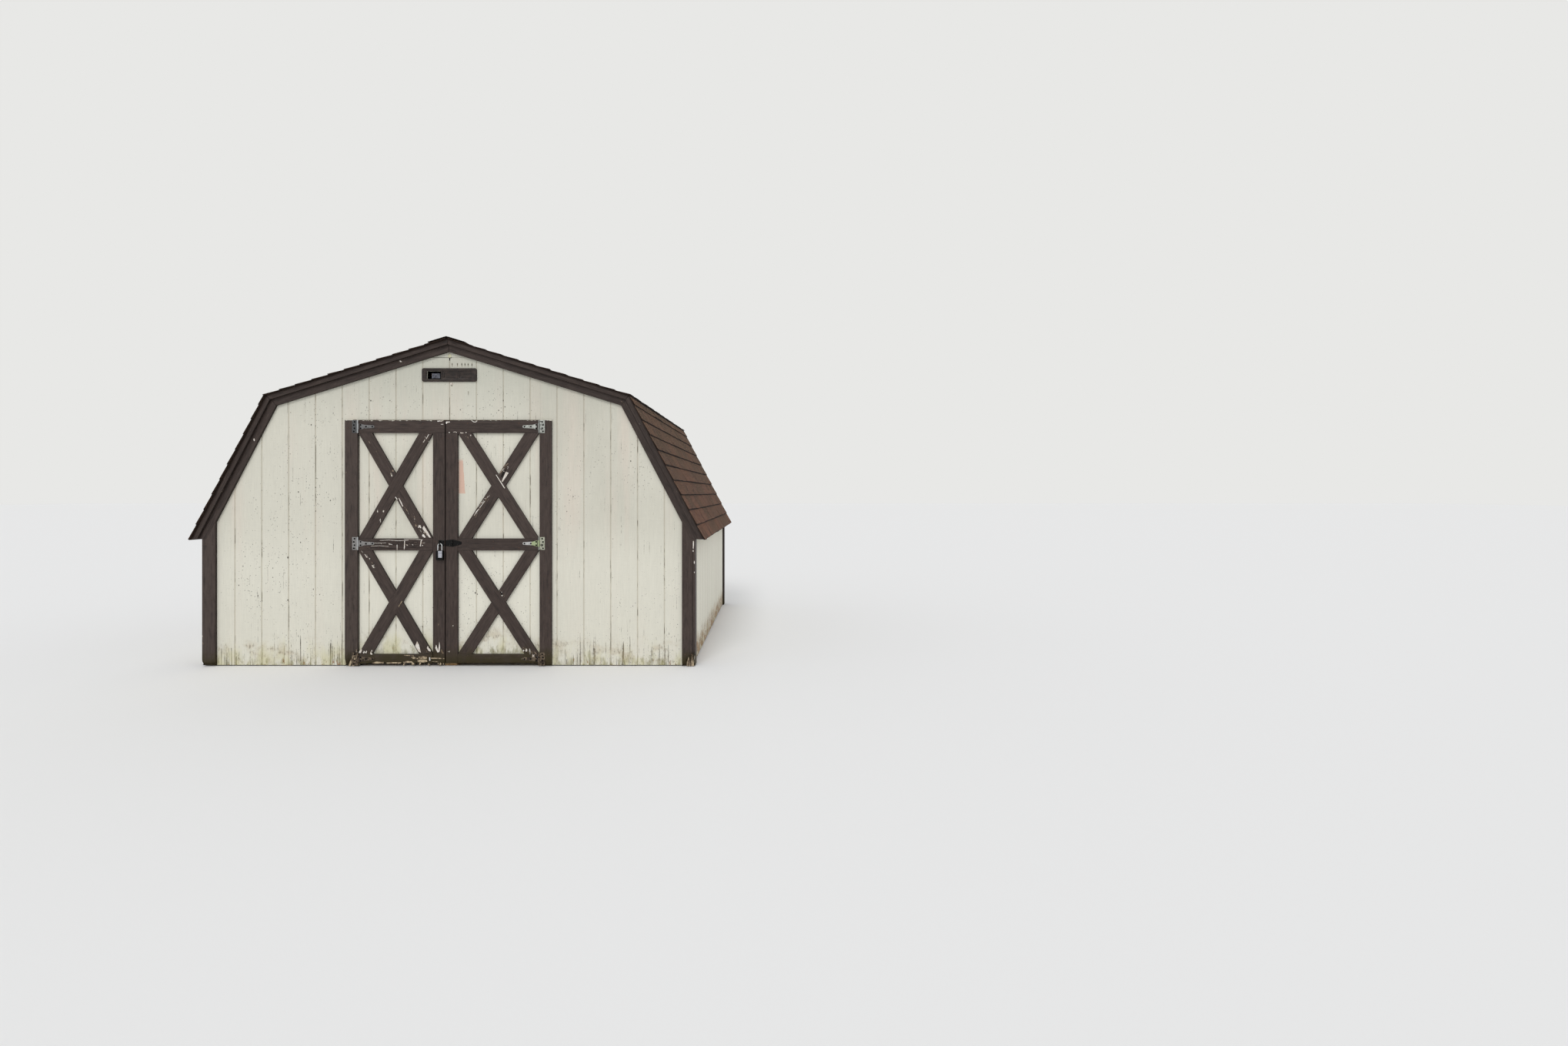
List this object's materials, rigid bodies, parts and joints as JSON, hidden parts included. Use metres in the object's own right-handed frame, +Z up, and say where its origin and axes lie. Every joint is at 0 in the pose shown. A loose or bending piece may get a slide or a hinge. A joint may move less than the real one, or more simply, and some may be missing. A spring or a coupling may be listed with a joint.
{
  "type": "gambrel storage shed",
  "caption": "Small gambrel-roof wooden shed with grooved plywood walls, cross-braced double doors in the gable and an asphalt shingle roof.",
  "frame": {"origin": "under the middle of the shed, at the underside of the skids", "axes": "+Z up; the doors face -Y; +X is to the right of someone facing the doors; the ridge runs along Y"},
  "size_m": [3.8794, 3.188, 2.4811],
  "materials": {
    "siding": "weathered cream paint on grooved plywood, flaked and stained near the ground",
    "trim": "weathered dark brown paint, flaking to pale wood",
    "framing": "bare softwood",
    "plywood": "bare plywood",
    "shingles": "reddish-brown mineral granules on asphalt shingles",
    "zinc": "dull galvanised steel with some rust",
    "black_iron": "black painted steel",
    "steel": "bright hardened steel"
  },
  "bodies": {
    "root": {"skids": "framing", "floor_frame": "framing", "floor_deck": "plywood", "side_wall_frames": "framing", "front_wall_frame": "framing", "back_wall_frame": "framing", "roof_trusses": "framing", "truss_gussets": "plywood", "left_wall": "siding", "right_wall": "siding", "back_wall": "siding", "front_wall_left": "siding", "front_wall_right": "siding", "front_gable": "siding", "front_corner_boards": "trim", "back_corner_boards": "trim", "door_jambs": "trim", "door_stops": "framing", "roof_deck": "plywood", "shingles_left_lower": "shingles", "shingles_left_upper": "shingles", "shingles_right_upper": "shingles", "shingles_right_lower": "shingles", "ridge_cap": "shingles", "rake_boards_front": "trim", "rake_boards_back": "trim", "rake_strips": "trim", "eave_soffits": "trim", "gable_vent_front": "trim", "gable_vent_back": "trim", "hinge_plates": "zinc"},
    "left_leaf": {"left_leaf_panel": "siding", "left_leaf_frame": "trim", "left_leaf_braces": "trim", "left_hinge_straps": "zinc", "hasp_staple": "black_iron", "padlock_body": "black_iron", "padlock_shackle": "steel"},
    "right_leaf": {"right_leaf_panel": "siding", "right_leaf_frame": "trim", "right_leaf_braces": "trim", "right_hinge_straps": "zinc", "hasp_plate": "black_iron"},
    "hasp_flap": {"hasp_flap": "black_iron"}
  },
  "joints": [
    {"name": "left_door", "type": "hinge", "parent": "root", "child": "left_leaf", "pos_m": [-0.6835, -1.5605, 0.94], "axis": [0, 0, -1], "range_deg": [0, 165]},
    {"name": "right_door", "type": "hinge", "parent": "root", "child": "right_leaf", "pos_m": [0.6835, -1.5605, 0.94], "axis": [0, 0, 1], "range_deg": [0, 165]},
    {"name": "hasp_hinge", "type": "hinge", "parent": "right_leaf", "child": "hasp_flap", "pos_m": [0.03, -1.5605, 0.931], "axis": [0, 0, 1], "range_deg": [0, 165]}
  ]
}
